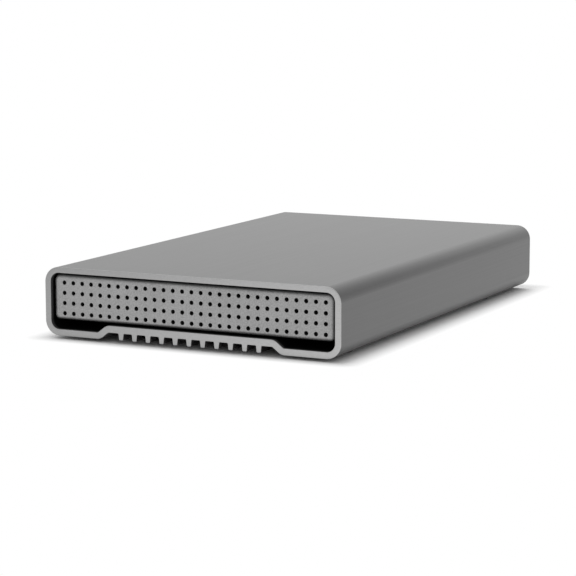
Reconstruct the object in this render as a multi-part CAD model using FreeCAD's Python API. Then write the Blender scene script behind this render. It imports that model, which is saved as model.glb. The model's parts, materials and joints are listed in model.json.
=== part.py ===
import FreeCAD, Part
import os
from math import cos, floor, pi, radians, sin, tan

# A portable solid state drive: a finned sleeve round a tray with a 2.5-inch drive and its bridge board.
# Millimetres, X across, Y along with the front at -Y, Z up, origin at the middle of the footprint.

# Sleeve
side_wall = 1.55
top_wall = 1.4
skid_wall = 1.6
floor_wall = 1.7
outer_corner = 3.75
skid_width = 15.3
recess_depth = 1.75
shoulder_angle = 37.5
shoulder_bend = 0.8
fin_pitch = 3.7
fin_root = 1.45
fin_tip = 1.1
fin_ease = 0.25
fin_lift = 0.1
fin_margin = 1.0

# Feet under the skids
foot_height = 0.8
foot_diameter = 8.0
foot_front_inset = 15.0
foot_screw_gap = 3.7

# Room round the drive inside the sleeve
side_room = 3.125
head_room = 4.15
front_room = 2.4
board_room = 17.0

# Front and rear panels
front_recess = 0.8
rear_recess = 1.6
panel_thickness = 1.5
panel_side_gap = 0.47
panel_top_gap = 0.35
panel_foot_gap = 0.46
panel_foot_corner = 1.2
panel_edge_round = 1.0
hole_pitch = 2.5
hole_diameter = 0.95
hole_shift = 0.4
hole_side_margin = 2.05
hole_foot_margin = 1.58
hole_top_margin = 1.2

# Snap arms that join the panels to the tray
arm_thickness = 1.0
arm_height = 3.0
arm_reach = 6.0
barb_length = 1.8
barb_ramp = 0.7
barb_depth = 0.6

# Tray
tray_sheet = 0.8
tray_bend = 0.4
tray_front_gap = 1.6
flange_height = 6.4
tab_width = 6.4
tab_height = 8.4
tab_inset = 1.1

# Heat pad
pad_width = 40.0
pad_length = 60.0

# 2.5-inch drive
drive_length = 100.2
drive_width = 69.85
drive_height = 7.0
drive_corner = 1.5
drive_edge = 0.5
drive_wall = 1.2
drive_floor = 1.0
cover_sheet = 0.8
cover_lip = 1.0
side_hole_height = 3.0
side_hole_rear_inset = 14.0
side_hole_front_inset = 9.6
side_hole_depth = 3.4
side_boss_length = 7.0
side_boss_depth = 3.2
ssd_board_length = 60.0
ssd_board_sheet = 1.0
post_diameter = 4.4
post_inset = 3.4
chip_height = 1.0
chip_gap = 3.4
controller_size = 17.0
controller_inset = 16.0
memory_width = 9.0
memory_length = 13.0
flash_width = 18.0
flash_length = 14.0
flash_spread = 28.0
flash_inset = 34.0
flash_rows = 2
flash_row_pitch = 17.0

# Plug and socket between the drive and the bridge board
plug_offset = 4.8
plug_height = 3.5
data_blade_width = 10.41
power_blade_width = 20.57
blade_gap = 2.41
blade_thickness = 1.23
blade_length = 5.2
blade_key = 1.1
blade_setback = 0.4
plug_base_length = 3.6
plug_base_height = 3.4
plug_rim = 1.6
socket_height = 4.8
socket_tail = 4.5
board_bite = 2.6

# Bridge board
bridge_sheet = 1.2
bridge_width = 56.0
bridge_gap = 0.3
standoff_diameter = 4.0
standoff_spread = 50.0
standoff_inset = 5.0
bridge_chip_size = 7.0
bridge_chip_height = 0.9
bridge_chip_x = -13.5
firmware_width = 5.0
firmware_length = 4.0
firmware_height = 1.5
firmware_x = 1.5
crystal_width = 2.5
crystal_length = 3.2
crystal_height = 0.8
crystal_x = -20.0
inductor_size = 4.2
inductor_height = 2.0
inductor_corner = 0.8
inductor_x = 9.5
capacitor_width = 1.25
capacitor_length = 2.0
capacitor_height = 1.2
capacitor_count = 3
capacitor_pitch = 2.6
capacitor_x = 14.0
component_setback = 7.0

# USB-C inlet
usb_width = 8.94
usb_height = 3.26
usb_length = 7.35
usb_sheet = 0.3
usb_tongue_width = 6.69
usb_tongue_thickness = 0.7
usb_tongue_reach = 4.45
usb_slot_gap = 0.15

# Activity lamp
lamp_x = 19.0
lamp_width = 2.0
lamp_length = 1.0
lamp_height = 2.4
pipe_diameter = 2.0
pipe_flange_diameter = 3.2
pipe_flange_length = 0.5
pipe_gap = 0.1

# Fasteners
drive_screw_diameter = 2.5
drive_head_diameter = 4.8
drive_head_height = 0.9
panel_screw_diameter = 1.9
panel_screw_length = 4.6
panel_head_diameter = 3.6
panel_head_height = 1.1
board_screw_diameter = 1.6
board_head_diameter = 3.2
board_head_height = 0.8
case_screw_diameter = 2.4
case_head_diameter = 4.4
case_head_sink = 0.1
case_head_rim = 0.2
case_screw_setback = 8.0
nut_diameter = 4.4
thread_gap = 0.05
shank_gap = 0.2

# General clearance between neighbouring pieces
fit_gap = 0.1

# Flats round a pin, bore or punched hole of a few millimetres
small_round_sides = 8

# Heights
skid_top = foot_height + skid_wall
recess_z = foot_height + recess_depth
floor_top = recess_z + floor_wall
drive_z = floor_top + tray_sheet
drive_top = drive_z + drive_height
inner_top = drive_top + head_room
case_height = inner_top + top_wall
plug_z = drive_z + plug_height
side_hole_z = drive_z + side_hole_height
bridge_z = plug_z - bridge_sheet / 2
bridge_top = bridge_z + bridge_sheet

# Widths
inner_half = drive_width / 2 + side_room
case_half = inner_half + side_wall
flange_in = drive_width / 2 + fit_gap
flange_out = flange_in + tray_sheet
panel_half = inner_half - panel_side_gap
skid_half = case_half - skid_width
shoulder_slope = tan(radians(shoulder_angle))
recess_half = skid_half - recess_depth / shoulder_slope
shoulder_wall = (skid_wall + floor_wall) / 2
channel_half = skid_half - skid_wall / shoulder_slope + shoulder_wall / sin(radians(shoulder_angle))
raised_half = channel_half - (floor_top - skid_top) / shoulder_slope

# Lengths
panels_length = front_recess + rear_recess + 2 * panel_thickness
case_length = panels_length + front_room + drive_length + board_room
rear_y = case_length / 2
front_y = -rear_y
front_panel_y = front_y + front_recess
front_panel_back = front_panel_y + panel_thickness
rear_panel_y = rear_y - rear_recess
rear_panel_back = rear_panel_y - panel_thickness
drive_front = front_panel_back + front_room
drive_rear = drive_front + drive_length
bridge_rear = rear_panel_back - tray_sheet - bridge_gap

# Panels
panel_foot = floor_top + panel_foot_gap
panel_top = inner_top - panel_top_gap
panel_mid = (panel_foot + panel_top) / 2
panel_top_corner = outer_corner - side_wall - panel_side_gap

# Plug and socket
plug_width = data_blade_width + blade_gap + power_blade_width
blade_tip = drive_rear - blade_setback
plug_face = blade_tip - blade_length
plug_back = plug_face - plug_base_length
socket_face = plug_face + fit_gap
socket_back = drive_rear + socket_tail
ssd_board_rear = plug_back + board_bite
ssd_board_front = ssd_board_rear - ssd_board_length
ssd_board_z = plug_z - ssd_board_sheet / 2
ssd_board_half = drive_width / 2 - drive_wall - side_boss_depth - fit_gap
bridge_front = socket_back - board_bite

up = FreeCAD.Vector(0, 0, 1)
along = FreeCAD.Vector(0, 1, 0)
across = FreeCAD.Vector(1, 0, 0)


def point(x, y, z):
    return FreeCAD.Vector(x, y, z)


def section_at(y):
    """Places a (across, height) pair on the upright plane at y."""
    return lambda u, v: point(u, y, v)


def plan_at(z):
    """Places an (across, along) pair on the level plane at z."""
    return lambda u, v: point(u, v, z)


def side_at(x):
    """Places an (along, height) pair on the upright plane at x."""
    return lambda u, v: point(x, u, v)


def rounded_wire(corners, place):
    """Closed wire through (u, v, radius) corners, each rounded by a tangent arc."""
    stops = []
    for i, (u, v, radius) in enumerate(corners):
        here = point(u, v, 0)
        before = point(*corners[i - 1][:2], 0) - here
        after = point(*corners[(i + 1) % len(corners)][:2], 0) - here
        before.normalize()
        after.normalize()
        half_turn = before.getAngle(after) / 2
        inward = (before + after).normalize()
        tangent = radius / tan(half_turn)
        middle = here + inward * (radius / sin(half_turn) - radius)
        stops.append([place(p.x, p.y) for p in (here + before * tangent, middle, here + after * tangent)])
    edges = []
    for i, (start, middle, end) in enumerate(stops):
        edges.append(Part.LineSegment(stops[i - 1][2], start).toShape())
        if corners[i][2] > 0:
            edges.append(Part.Arc(start, middle, end).toShape())
    return Part.Wire(edges)


def prism(corners, place, travel):
    return Part.Face(rounded_wire(corners, place)).extrude(travel)


def sharp(*pairs):
    """Corners with no rounding."""
    return [(u, v, 0) for u, v in pairs]


def mirrored(corners):
    """The corners of a right half, then of its mirror image, as one closed outline."""
    return corners + [(-u, v, radius) for u, v, radius in reversed(corners)]


def block(x, y, z, width, length, height):
    """Box centred on x and y, standing on z."""
    return Part.makeBox(width, length, height, point(x - width / 2, y - length / 2, z))


def small_round(diameter, centre, direction):
    """Outline of a small pin or hole, square to the direction."""
    sideways = along if abs(direction.dot(across)) > abs(direction.dot(along)) else across
    upright = direction.cross(sideways)
    turns = [2 * pi * (i + 0.5) / small_round_sides for i in range(small_round_sides + 1)]
    return Part.makePolygon([
        centre + (sideways * cos(turn) + upright * sin(turn)) * (diameter / 2) for turn in turns
    ])


def rod(diameter, length, start, direction):
    """Small pin or bore from a start point along a direction."""
    return Part.Face(small_round(diameter, start, direction)).extrude(direction * length)


def both_sides(shape):
    """A piece and its mirror image across the middle plane."""
    return [shape, shape.mirror(point(0, 0, 0), across)]


def headed_screw(diameter, length, head_diameter, head_height, seat, direction):
    """Screw whose flat head sits on the seat point and whose shank runs along the direction."""
    shank = rod(diameter, length, seat, direction)
    head = rod(head_diameter, head_height, seat - direction * head_height, direction)
    return shank.fuse(head).removeSplitter()


def fin_corners():
    """The underside of the raised floor from right to left, down and up each tapered fin."""
    reach = floor((recess_half - fin_root / 2 - fin_margin) / fin_pitch)
    half = [
        (fin_root / 2 + fin_ease, recess_z),
        (fin_root / 2, recess_z - fin_ease),
        (fin_tip / 2, foot_height + fin_lift + fin_ease),
        (fin_tip / 2 - fin_ease, foot_height + fin_lift),
    ]
    corners = []
    for step in range(reach, -reach - 1, -1):
        x = step * fin_pitch
        corners += sharp(*[(x + u, v) for u, v in half])
        corners += sharp(*[(x - u, v) for u, v in reversed(half)])
    return corners


def skid_middle():
    return (channel_half + inner_half) / 2


def case_screw_y():
    return drive_rear + case_screw_setback


def case_screw_places():
    return [(side * skid_middle(), case_screw_y()) for side in (1, -1)]


def countersunk(diameter, head_diameter, length, x, y, z):
    """Countersunk screw body, head down at z, with a narrow rim and a 90 degree cone."""
    cone_height = (head_diameter - diameter) / 2 * cos(pi / small_round_sides)
    start = point(x, y, z)
    head = rod(head_diameter, case_head_rim + cone_height, start, up)
    upper_edges = [edge for edge in head.Edges if edge.BoundBox.ZMin > z + case_head_rim]
    head = head.makeChamfer(cone_height, upper_edges)
    return head.fuse(rod(diameter, length, start, up)).removeSplitter()


def housing():
    bend = shoulder_bend + shoulder_wall
    right_outside = [
        (case_half, case_height, outer_corner),
        (case_half, foot_height, outer_corner),
        (skid_half, foot_height, bend),
        (recess_half, recess_z, shoulder_bend),
    ]
    left_outside = [(-x, z, radius) for x, z, radius in reversed(right_outside)]
    outside = prism(right_outside + fin_corners() + left_outside, section_at(front_y), along * case_length)
    right_inside = [
        (inner_half, inner_top, outer_corner - side_wall),
        (inner_half, skid_top, outer_corner - side_wall),
        (channel_half, skid_top, shoulder_bend),
        (raised_half, floor_top, bend),
    ]
    sleeve = outside.cut(prism(mirrored(right_inside), section_at(front_y), along * case_length))
    bores = []
    for x, y in case_screw_places():
        width = case_screw_diameter + 2 * shank_gap
        bores.append(countersunk(width, case_head_diameter + 2 * shank_gap, skid_wall, x, y, foot_height))
    return sleeve.cut(bores)


def rubber_feet():
    """Low discs under the skids, behind the front edge and ahead of the case screws."""
    rear = case_screw_y() - case_head_diameter / 2 - foot_screw_gap - foot_diameter / 2
    feet = []
    for y in (front_y + foot_front_inset, rear):
        feet += both_sides(rod(foot_diameter, foot_height, point(skid_middle(), y, 0), up))
    return Part.makeCompound(feet)


def panel_outline():
    return mirrored([
        (panel_half, panel_top, panel_top_corner),
        (panel_half, panel_foot, panel_foot_corner),
    ])


def panel_plate(outer_face_y, inward, holes):
    """Panel with rounded outer edges, pierced by the given hole wires."""
    outline = rounded_wire(panel_outline(), section_at(outer_face_y))
    face = Part.makeFace([outline] + holes, "Part::FaceMakerBullseye")
    plate = face.extrude(along * inward * panel_thickness)
    rim = [edge for edge in plate.Edges if any(edge.isSame(side) for side in outline.Edges)]
    return plate.makeFillet(panel_edge_round, rim)


def snap_arms(panel_back, inward):
    """Two arms behind a panel, whose barbs drop into windows in the tray's flanges."""
    inside = flange_out + fit_gap
    tip = panel_back + inward * arm_reach
    shoulder = tip - inward * barb_length
    arm = prism(sharp(
        (inside, panel_back),
        (inside + arm_thickness, panel_back),
        (inside + arm_thickness, tip),
        (inside, tip),
        (inside - fit_gap - barb_depth, tip - inward * barb_ramp),
        (inside - fit_gap - barb_depth, shoulder),
        (inside, shoulder),
    ), plan_at(side_hole_z - arm_height / 2), up * arm_height)
    return both_sides(arm)


def front_grille():
    """Perforated front panel on a square grid of holes."""
    reach = floor((panel_half - hole_side_margin - hole_shift) / hole_pitch)
    first_row = panel_foot + hole_foot_margin
    rows = floor((panel_top - hole_top_margin - first_row) / hole_pitch) + 1
    holes = []
    for row in range(rows):
        for column in range(-reach, reach + 1):
            x = hole_shift + column * hole_pitch
            centre = point(x, front_panel_y, first_row + row * hole_pitch)
            holes.append(small_round(hole_diameter, centre, along))
    plate = panel_plate(front_panel_y, 1, holes)
    return plate.fuse(snap_arms(front_panel_back, 1)).removeSplitter()


def usb_section(spread):
    """Round-ended outline of the inlet's shell, grown by the spread."""
    half_width = usb_width / 2 + spread
    half_height = usb_height / 2 + spread
    middle = bridge_top + usb_height / 2
    round_end = half_height - fit_gap
    return mirrored([
        (half_width, middle + half_height, round_end),
        (half_width, middle - half_height, round_end),
    ])


def panel_screw_x():
    return flange_in - tab_inset - tab_width / 2


def rear_panel():
    hole_y = rear_panel_y
    slot = rounded_wire(usb_section(usb_slot_gap), section_at(hole_y))
    lamp = small_round(pipe_diameter + 2 * pipe_gap, point(lamp_x, hole_y, lamp_z()), along)
    holes = [slot, lamp]
    for side in (1, -1):
        centre = point(side * panel_screw_x(), hole_y, panel_mid)
        holes.append(small_round(panel_screw_diameter + 2 * shank_gap, centre, along))
    plate = panel_plate(rear_panel_y, -1, holes)
    return plate.fuse(snap_arms(rear_panel_back, -1)).removeSplitter()


def rear_panel_screws():
    screws = []
    for side in (1, -1):
        seat = point(side * panel_screw_x(), rear_panel_y, panel_mid)
        screws.append(headed_screw(
            panel_screw_diameter, panel_screw_length, panel_head_diameter, panel_head_height, seat, -along))
    return Part.makeCompound(screws)


def tray_channel():
    """The tray's folded floor and flanges, from a little behind the front panel to the rear one."""
    outer_bend = tray_bend + tray_sheet
    flange_top = floor_top + flange_height
    right = [
        (flange_in, drive_z, tray_bend),
        (flange_in, flange_top, 0),
        (flange_out, flange_top, 0),
        (flange_out, floor_top, outer_bend),
    ]
    start = front_panel_back + tray_front_gap
    length = rear_panel_back - tray_sheet - tray_bend - start
    return prism(mirrored(right), section_at(start), along * length)


def tray_tab():
    """One upright tab at the tray's rear edge, folded up against the rear panel."""
    outer_bend = tray_bend + tray_sheet
    root = rear_panel_back - outer_bend - tray_sheet
    tab_top = floor_top + tab_height
    corners = [
        (root, floor_top, 0),
        (rear_panel_back, floor_top, outer_bend),
        (rear_panel_back, tab_top, 0),
        (rear_panel_back - tray_sheet, tab_top, 0),
        (rear_panel_back - tray_sheet, drive_z, tray_bend),
        (root, drive_z, 0),
    ]
    return prism(corners, side_at(panel_screw_x() - tab_width / 2), across * tab_width)


def drive_hole_places():
    return [drive_rear - side_hole_rear_inset, drive_front + side_hole_front_inset]


def pad_middle():
    return (drive_front + drive_rear) / 2


def drive_tray():
    tray = tray_channel().fuse(both_sides(tray_tab())).removeSplitter()
    window_width = pad_width + 2 * shank_gap
    window_length = pad_length + 2 * shank_gap
    cuts = [block(0, pad_middle(), floor_top, window_width, window_length, tray_sheet)]
    for y in drive_hole_places():
        start = point(-flange_out, y, side_hole_z)
        cuts.append(rod(drive_screw_diameter + 2 * shank_gap, 2 * flange_out, start, across))
    for tip, inward in ((front_panel_back + arm_reach, 1), (rear_panel_back - arm_reach, -1)):
        middle = tip - inward * barb_length / 2
        height = arm_height + 2 * shank_gap
        cuts.append(block(
            0, middle, side_hole_z - height / 2, 2 * flange_out, barb_length + 2 * shank_gap, height))
    for x, y in case_screw_places():
        cuts.append(rod(case_screw_diameter + 2 * shank_gap, tray_sheet, point(x, y, floor_top), up))
    for side in (1, -1):
        start = point(side * panel_screw_x(), rear_panel_back, panel_mid)
        cuts.append(rod(panel_screw_diameter + 2 * thread_gap, tray_sheet, start, -along))
    return tray.cut(cuts)


def clinch_nuts():
    nuts = []
    for x, y in case_screw_places():
        height = floor_top - skid_top
        bore = rod(case_screw_diameter + 2 * thread_gap, height, point(x, y, skid_top), up)
        nuts.append(rod(nut_diameter, height, point(x, y, skid_top), up).cut(bore))
    return Part.makeCompound(nuts)


def case_screws():
    head_z = foot_height + case_head_sink
    return Part.makeCompound([
        countersunk(case_screw_diameter, case_head_diameter, drive_z - head_z, x, y, head_z)
        for x, y in case_screw_places()
    ])


def heat_pad():
    return block(0, pad_middle(), floor_top, pad_width, pad_length, tray_sheet)


def drive_screws():
    length = tray_sheet + side_hole_depth
    screws = []
    for y in drive_hole_places():
        for side in (1, -1):
            screws.append(headed_screw(
                drive_screw_diameter, length, drive_head_diameter, drive_head_height,
                point(side * flange_out, y, side_hole_z), across * -side))
    return Part.makeCompound(screws)


def drive_plan(inset):
    """Plan outline of the drive's case, drawn in by the inset."""
    half = drive_width / 2 - inset
    corner = 0 if inset else drive_corner
    return [
        (half, drive_rear - inset, corner),
        (half, drive_front + inset, corner),
        (-half, drive_front + inset, corner),
        (-half, drive_rear - inset, corner),
    ]


def plug_opening():
    """The space in the case's rear wall for the plug and its socket."""
    width = plug_width + 2 * plug_rim + 2 * shank_gap
    depth = drive_wall + cover_lip + fit_gap
    bottom = drive_z + drive_floor
    return block(plug_offset, drive_rear - depth / 2, bottom, width, depth, drive_top - cover_sheet - bottom)


def board_posts():
    x = ssd_board_half - post_inset
    ends = (ssd_board_front + post_inset, ssd_board_rear - post_inset)
    return [(side * x, y) for y in ends for side in (1, -1)]


def ssd_base():
    wall_height = drive_height - cover_sheet
    floor_z = drive_z + drive_floor
    case = prism(drive_plan(0), plan_at(drive_z), up * wall_height)
    case = case.makeChamfer(drive_edge, [edge for edge in case.Edges if edge.BoundBox.ZMax < floor_z])
    case = case.cut(prism(drive_plan(drive_wall), plan_at(floor_z), up * (wall_height - drive_floor)))
    boss_height = drive_top - cover_sheet - cover_lip - fit_gap - drive_z
    boss_x = drive_width / 2 - drive_wall - side_boss_depth / 2
    bosses = []
    for y in drive_hole_places():
        bosses += both_sides(block(boss_x, y, drive_z, side_boss_depth, side_boss_length, boss_height))
    for x, y in board_posts():
        bosses.append(rod(post_diameter, ssd_board_z - drive_z, point(x, y, drive_z), up))
    bores = [plug_opening()]
    for y in drive_hole_places():
        start = point(drive_width / 2, y, side_hole_z)
        bores += both_sides(rod(drive_screw_diameter + 2 * thread_gap, side_hole_depth, start, -across))
    return case.fuse(bosses).removeSplitter().cut(bores)


def ssd_cover():
    """Flat lid with a lip that drops inside the base."""
    underside = drive_top - cover_sheet
    lid = prism(drive_plan(0), plan_at(underside), up * cover_sheet)
    lip_inset = drive_wall + fit_gap
    lip = prism(drive_plan(lip_inset), plan_at(underside), up * -cover_lip)
    lip = lip.cut(prism(drive_plan(lip_inset + cover_sheet), plan_at(underside), up * -cover_lip))
    return lid.fuse(lip.cut(plug_opening())).removeSplitter()


def ssd_board():
    middle = (ssd_board_front + ssd_board_rear) / 2
    board = block(0, middle, ssd_board_z, 2 * ssd_board_half, ssd_board_length, ssd_board_sheet)
    return board.cut([
        rod(board_screw_diameter + 2 * thread_gap, ssd_board_sheet, point(x, y, ssd_board_z), up)
        for x, y in board_posts()
    ])


def ssd_board_screws():
    """Screws whose shanks fill the board and stop at the posts' tops."""
    top = ssd_board_z + ssd_board_sheet
    return Part.makeCompound([
        headed_screw(
            board_screw_diameter, ssd_board_sheet, board_head_diameter, board_head_height,
            point(x, y, top), -up)
        for x, y in board_posts()
    ])


def under_board(x, inset, width, length):
    """A chip on the underside of the drive's board, its middle that far from the board's rear edge."""
    return block(x, ssd_board_rear - inset, ssd_board_z - chip_height, width, length, chip_height)


def ssd_controller():
    return under_board(0, controller_inset, controller_size, controller_size)


def controller_pad():
    bottom = drive_z + drive_floor
    height = ssd_board_z - chip_height - bottom
    return block(0, ssd_board_rear - controller_inset, bottom, controller_size, controller_size, height)


def ssd_memory():
    x = (controller_size + memory_width) / 2 + chip_gap
    return under_board(x, controller_inset, memory_width, memory_length)


def flash_packages():
    packages = []
    for row in range(flash_rows):
        inset = flash_inset + row * flash_row_pitch
        packages += both_sides(under_board(flash_spread / 2, inset, flash_width, flash_length))
    return Part.makeCompound(packages)


def blade_shapes(spread):
    """The data and power blades with their turned-down keys, grown by the spread for a socket's slots."""
    left = plug_offset - plug_width / 2
    half = blade_thickness / 2 + spread
    blades = []
    for start, width in ((left, data_blade_width), (left + data_blade_width + blade_gap, power_blade_width)):
        blades.append(prism(sharp(
            (start - spread, plug_z + half),
            (start + width + spread, plug_z + half),
            (start + width + spread, plug_z - half),
            (start + blade_thickness + spread, plug_z - half),
            (start + blade_thickness + spread, plug_z - half - blade_key),
            (start - spread, plug_z - half - blade_key),
        ), section_at(plug_face), along * (blade_length + spread)))
    return blades


def ssd_plug():
    middle = (plug_back + plug_face) / 2
    width = plug_width + 2 * plug_rim
    bottom = plug_z - plug_base_height / 2
    base = block(plug_offset, middle, bottom, width, plug_base_length, plug_base_height)
    seat = block(plug_offset, plug_back + board_bite / 2, ssd_board_z, width, board_bite, ssd_board_sheet)
    return base.fuse(blade_shapes(0)).removeSplitter().cut(seat)


def bridge_socket():
    length = socket_back - socket_face
    middle = (socket_back + socket_face) / 2
    width = plug_width + 2 * plug_rim
    body = block(plug_offset, middle, plug_z - socket_height / 2, width, length, socket_height)
    seat = block(plug_offset, socket_back - board_bite / 2, bridge_z, width, board_bite, bridge_sheet)
    return body.cut(blade_shapes(fit_gap) + [seat])


def standoff_places():
    y = bridge_rear - standoff_inset
    return [(side * standoff_spread / 2, y) for side in (1, -1)]


def bridge_board():
    middle = (bridge_front + bridge_rear) / 2
    board = block(0, middle, bridge_z, bridge_width, bridge_rear - bridge_front, bridge_sheet)
    return board.cut([
        rod(board_screw_diameter + 2 * thread_gap, bridge_sheet, point(x, y, bridge_z), up)
        for x, y in standoff_places()
    ])


def board_standoffs():
    height = bridge_z - drive_z
    posts = []
    for x, y in standoff_places():
        bore = rod(board_screw_diameter + 2 * thread_gap, height, point(x, y, drive_z), up)
        posts.append(rod(standoff_diameter, height, point(x, y, drive_z), up).cut(bore))
    return Part.makeCompound(posts)


def board_screws():
    length = bridge_top - drive_z
    return Part.makeCompound([
        headed_screw(
            board_screw_diameter, length, board_head_diameter, board_head_height,
            point(x, y, bridge_top), -up)
        for x, y in standoff_places()
    ])


def component_y():
    """The line that the bridge board's chips stand on, between the socket and the inlet."""
    return bridge_rear - component_setback


def bridge_chip():
    size = bridge_chip_size
    return block(bridge_chip_x, component_y(), bridge_top, size, size, bridge_chip_height)


def firmware_chip():
    y = rear_panel_y - usb_length - fit_gap - firmware_length / 2
    return block(firmware_x, y, bridge_top, firmware_width, firmware_length, firmware_height)


def crystal():
    return block(crystal_x, component_y(), bridge_top, crystal_width, crystal_length, crystal_height)


def power_inductor():
    half = inductor_size / 2
    y = component_y()
    core = prism(sharp(
        (inductor_x + half, y + half),
        (inductor_x + half, y - half),
        (inductor_x - half, y - half),
        (inductor_x - half, y + half),
    ), plan_at(bridge_top), up * inductor_height)
    uprights = [edge for edge in core.Edges if edge.BoundBox.ZLength > inductor_height / 2]
    return core.makeChamfer(inductor_corner, uprights)


def board_capacitors():
    return Part.makeCompound([
        block(capacitor_x + i * capacitor_pitch, component_y(), bridge_top,
              capacitor_width, capacitor_length, capacitor_height)
        for i in range(capacitor_count)
    ])


def usb_c_shell():
    start = rear_panel_y - usb_length
    shell = prism(usb_section(0), section_at(start), along * usb_length)
    return shell.cut(prism(usb_section(-usb_sheet), section_at(start), along * usb_length))


def usb_c_tongue():
    """Insulator that closes the shell's inner end, with the contact tongue standing out of it."""
    start = rear_panel_y - usb_length
    base_length = usb_length - usb_tongue_reach - usb_sheet
    base = prism(usb_section(-usb_sheet), section_at(start), along * base_length)
    middle = bridge_top + usb_height / 2
    reach = usb_tongue_reach / 2
    tongue = block(0, start + base_length + reach, middle - usb_tongue_thickness / 2,
                   usb_tongue_width, usb_tongue_reach, usb_tongue_thickness)
    return base.fuse(tongue).removeSplitter()


def lamp_z():
    return bridge_top + lamp_height / 2


def activity_led():
    return block(lamp_x, bridge_rear - lamp_length / 2, bridge_top, lamp_width, lamp_length, lamp_height)


def light_pipe():
    """Clear pin that carries the lamp's light out through the rear panel."""
    lamp_face = point(lamp_x, bridge_rear, lamp_z())
    pin = rod(pipe_diameter, rear_panel_y - bridge_rear, lamp_face, along)
    flange_start = point(lamp_x, rear_panel_back - pipe_flange_length, lamp_z())
    return pin.fuse(rod(pipe_flange_diameter, pipe_flange_length, flange_start, along)).removeSplitter()


pieces = [
    housing, rubber_feet, front_grille, rear_panel, rear_panel_screws,
    drive_tray, clinch_nuts, case_screws, heat_pad, drive_screws,
    ssd_base, ssd_cover, ssd_board, ssd_board_screws,
    ssd_controller, controller_pad, ssd_memory, flash_packages, ssd_plug,
    bridge_board, board_standoffs, board_screws, bridge_socket,
    bridge_chip, firmware_chip, crystal, power_inductor, board_capacitors,
    usb_c_shell, usb_c_tongue, activity_led, light_pipe,
]

os.makedirs("parts", exist_ok=True)
for piece in pieces:
    piece().exportStep(f"parts/{piece.__name__}.step")
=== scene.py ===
import json
from math import cos, floor, pi, radians, sin, tan

import bmesh
import bpy
from mathutils import Matrix, Vector


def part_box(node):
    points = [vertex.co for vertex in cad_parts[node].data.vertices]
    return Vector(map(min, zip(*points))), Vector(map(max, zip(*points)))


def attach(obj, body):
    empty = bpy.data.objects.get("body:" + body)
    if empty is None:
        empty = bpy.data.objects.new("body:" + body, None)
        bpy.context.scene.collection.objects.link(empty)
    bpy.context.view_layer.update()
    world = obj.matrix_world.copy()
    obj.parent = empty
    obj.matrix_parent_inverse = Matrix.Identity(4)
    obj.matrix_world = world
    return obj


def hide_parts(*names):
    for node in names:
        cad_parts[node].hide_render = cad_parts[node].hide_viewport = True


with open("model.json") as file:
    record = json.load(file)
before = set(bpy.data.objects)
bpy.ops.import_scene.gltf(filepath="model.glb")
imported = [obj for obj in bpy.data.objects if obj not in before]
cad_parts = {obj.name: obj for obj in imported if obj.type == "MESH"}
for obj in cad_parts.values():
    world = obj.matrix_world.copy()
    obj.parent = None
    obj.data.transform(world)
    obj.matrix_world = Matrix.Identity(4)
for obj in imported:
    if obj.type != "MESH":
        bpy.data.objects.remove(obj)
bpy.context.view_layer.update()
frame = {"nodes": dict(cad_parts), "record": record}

# A portable solid state drive in a finned aluminium sleeve, seen from its perforated front.
# Metres, in the frame's own axes: X across, Y along with the front at -Y, Z up.
MM = 0.001

# Sleeve
sleeve_low, sleeve_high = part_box("housing")
side_wall = 1.55 * MM
top_wall = 1.4 * MM
skid_wall = 1.6 * MM
floor_wall = 1.7 * MM
outer_corner = 3.75 * MM
skid_width = 15.3 * MM
recess_depth = 1.75 * MM
shoulder_angle = radians(37.5)
shoulder_bend = 0.8 * MM
fin_pitch = 3.7 * MM
fin_root = 1.45 * MM
fin_tip = 1.1 * MM
fin_ease = 0.25 * MM
fin_lift = 0.1 * MM
fin_margin = 1.0 * MM
cut_edge_ease = 0.12 * MM
screw_seat_gap = 0.2 * MM
screw_seat_rim = 0.2 * MM

# Feet
feet_low, feet_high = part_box("rubber_feet")
foot_radius = 4.0 * MM
foot_ease = 0.2 * MM

# Front and rear panels
grille_low, grille_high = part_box("front_grille")
rear_low, rear_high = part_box("rear_panel")
panel_thickness = 1.5 * MM
panel_top_corner = 1.73 * MM
panel_foot_corner = 1.2 * MM
panel_edge_round = 1.0 * MM
hole_pitch = 2.5 * MM
hole_radius = 0.475 * MM
hole_ease = 0.07 * MM
hole_shift = 0.4 * MM
hole_side_margin = 2.05 * MM
hole_foot_margin = 1.58 * MM
hole_top_margin = 1.2 * MM

# Snap arms behind the panels
arm_outside = 36.925 * MM
arm_thickness = 1.0 * MM
arm_height = 3.0 * MM
arm_z = 8.05 * MM
barb_length = 1.8 * MM
barb_ramp = 0.7 * MM
barb_depth = 0.7 * MM

# Screws, whose solids have eight flats
flat_share = cos(pi / 8)
panel_screw_low, panel_screw_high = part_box("rear_panel_screws")
case_screw_low, case_screw_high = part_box("case_screws")
panel_shank_radius = 0.95 * MM
panel_shank_gap = 0.2 * MM
panel_head_height = 1.1 * MM
case_shank_radius = 1.2 * MM
case_head_rim = 0.2 * MM
thread_depth = 0.2 * MM
head_rim_share = 0.25
head_dome_reach = 0.62
head_edge_ease = 0.06 * MM
screw_turn = radians(17)

# Crosses in the screw heads, as shares of the head's radius and height
panel_cross_reach = 0.42
panel_cross_width = 0.09
panel_cross_depth = 0.6
case_cross_reach = 0.52
case_cross_width = 0.1
case_cross_depth = 0.8
cross_taper = 0.55

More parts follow.
